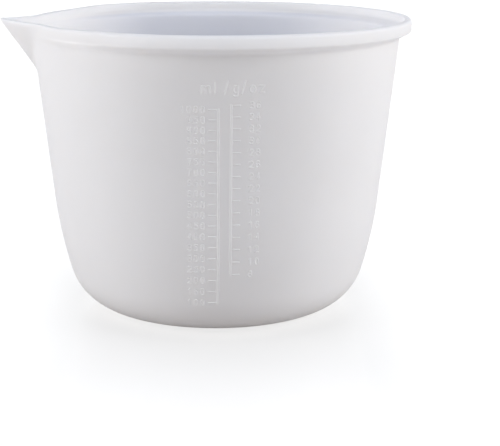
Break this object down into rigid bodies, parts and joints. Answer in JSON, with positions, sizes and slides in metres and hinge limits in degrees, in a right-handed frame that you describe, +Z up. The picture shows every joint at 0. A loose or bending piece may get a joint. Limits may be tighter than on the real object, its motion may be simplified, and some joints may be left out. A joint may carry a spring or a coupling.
{
  "type": "resin casting mixing cup",
  "caption": "Round translucent silicone cup with a flared rim collar, a V pouring beak and raised volume and weight scales, for mixing and pouring casting resin.",
  "frame": {"origin": "centre of the flat resting face", "axes": "+Z up along the cup's axis, the pouring beak towards -X, the raised scales facing -Y"},
  "size_m": [0.1612, 0.1528, 0.1154],
  "materials": {
    "silicone": "frosted translucent white silicone, satin",
    "silicone_marks": "raised marks in the same frosted silicone"
  },
  "bodies": {
    "root": {"base_disc": "silicone", "heel_curve": "silicone", "belly_wall": "silicone", "side_wall": "silicone", "rim_collar": "silicone", "pour_spout": "silicone", "ml_scale_line": "silicone_marks", "ml_scale_ticks": "silicone_marks", "ml_scale_numerals": "silicone_marks", "oz_scale_line": "silicone_marks", "oz_scale_ticks": "silicone_marks", "oz_scale_numerals": "silicone_marks", "unit_header": "silicone_marks"}
  },
  "joints": []
}
